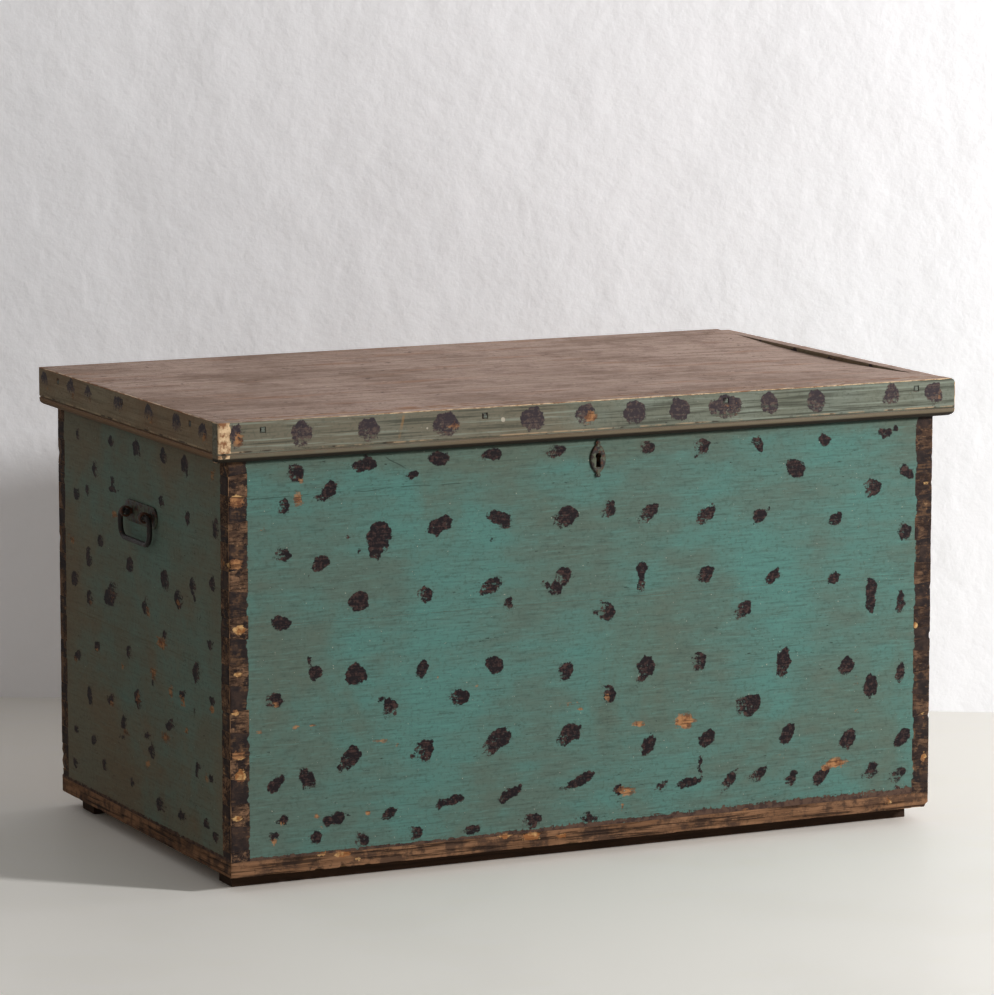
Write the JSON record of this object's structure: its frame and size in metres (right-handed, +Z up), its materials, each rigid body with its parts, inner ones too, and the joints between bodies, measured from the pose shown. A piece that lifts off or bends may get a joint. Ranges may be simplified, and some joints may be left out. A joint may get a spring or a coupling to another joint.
{
  "type": "storage trunk",
  "caption": "Painted plank chest with dovetailed corners, a hinged flat lid edged by a moulding, a chest lock and a drop bail handle on each end.",
  "frame": {"origin": "on the floor under the middle of the trunk's outline", "axes": "+X along the front to the right end, +Y from the front to the back, +Z up"},
  "size_m": [1.094, 0.656, 0.6233],
  "materials": {
    "painted_pine": "worn matte blue-green paint with dark hand-dabbed spots",
    "worn_lid_pine": "paint worn away to dull grey-brown pine",
    "aged_pine": "bare pine, browned with age",
    "wrought_iron": "dark forged iron with a film of rust"
  },
  "bodies": {
    "case": {"back_lower_plank": "aged_pine", "back_upper_plank": "aged_pine", "bolt_guides": "wrought_iron", "bolt_spring": "wrought_iron", "bottom_front_plank": "aged_pine", "bottom_middle_plank": "aged_pine", "bottom_nails": "wrought_iron", "bottom_rear_plank": "aged_pine", "escutcheon": "wrought_iron", "escutcheon_pins": "wrought_iron", "front_lower_plank": "painted_pine", "front_runner": "aged_pine", "front_upper_plank": "painted_pine", "key_post": "wrought_iron", "leaf_nails": "wrought_iron", "left_handle_eyes": "wrought_iron", "left_handle_plate": "wrought_iron", "left_handle_roves": "wrought_iron", "left_hinge_leaf": "wrought_iron", "left_hinge_pin": "wrought_iron", "left_lower_plank": "painted_pine", "left_upper_plank": "painted_pine", "lock_bridge": "wrought_iron", "lock_nails": "wrought_iron", "lock_plate": "wrought_iron", "rear_runner": "aged_pine", "right_handle_eyes": "wrought_iron", "right_handle_plate": "wrought_iron", "right_handle_roves": "wrought_iron", "right_hinge_leaf": "wrought_iron", "right_hinge_pin": "wrought_iron", "right_lower_plank": "painted_pine", "right_upper_plank": "painted_pine", "runner_nails": "wrought_iron"},
    "lid": {"lid_front_plank": "worn_lid_pine", "lid_rear_plank": "worn_lid_pine", "front_moulding": "painted_pine", "left_moulding": "painted_pine", "right_moulding": "painted_pine", "left_hinge_strap": "wrought_iron", "right_hinge_strap": "wrought_iron", "keeper": "wrought_iron", "moulding_nails": "wrought_iron", "strap_nails": "wrought_iron", "keeper_nails": "wrought_iron"},
    "left_bail": {"left_bail": "wrought_iron"},
    "right_bail": {"right_bail": "wrought_iron"},
    "lock_bolt": {"lock_bolt": "wrought_iron"}
  },
  "joints": [
    {"name": "lid_hinge", "type": "hinge", "parent": "case", "child": "lid", "pos_m": [0, 0.3204, 0.5929], "axis": [-1, 0, 0], "range_deg": [0, 105]},
    {"name": "left_bail_swing", "type": "hinge", "parent": "case", "child": "left_bail", "pos_m": [-0.5355, -0.004, 0.46], "axis": [0, 1, 0], "range_deg": [0, 170]},
    {"name": "right_bail_swing", "type": "hinge", "parent": "case", "child": "right_bail", "pos_m": [0.5355, -0.004, 0.46], "axis": [0, -1, 0], "range_deg": [0, 170]},
    {"name": "lock_bolt_slide", "type": "slide", "parent": "case", "child": "lock_bolt", "axis": [1, 0, 0], "range_m": [0, 0.014]}
  ]
}
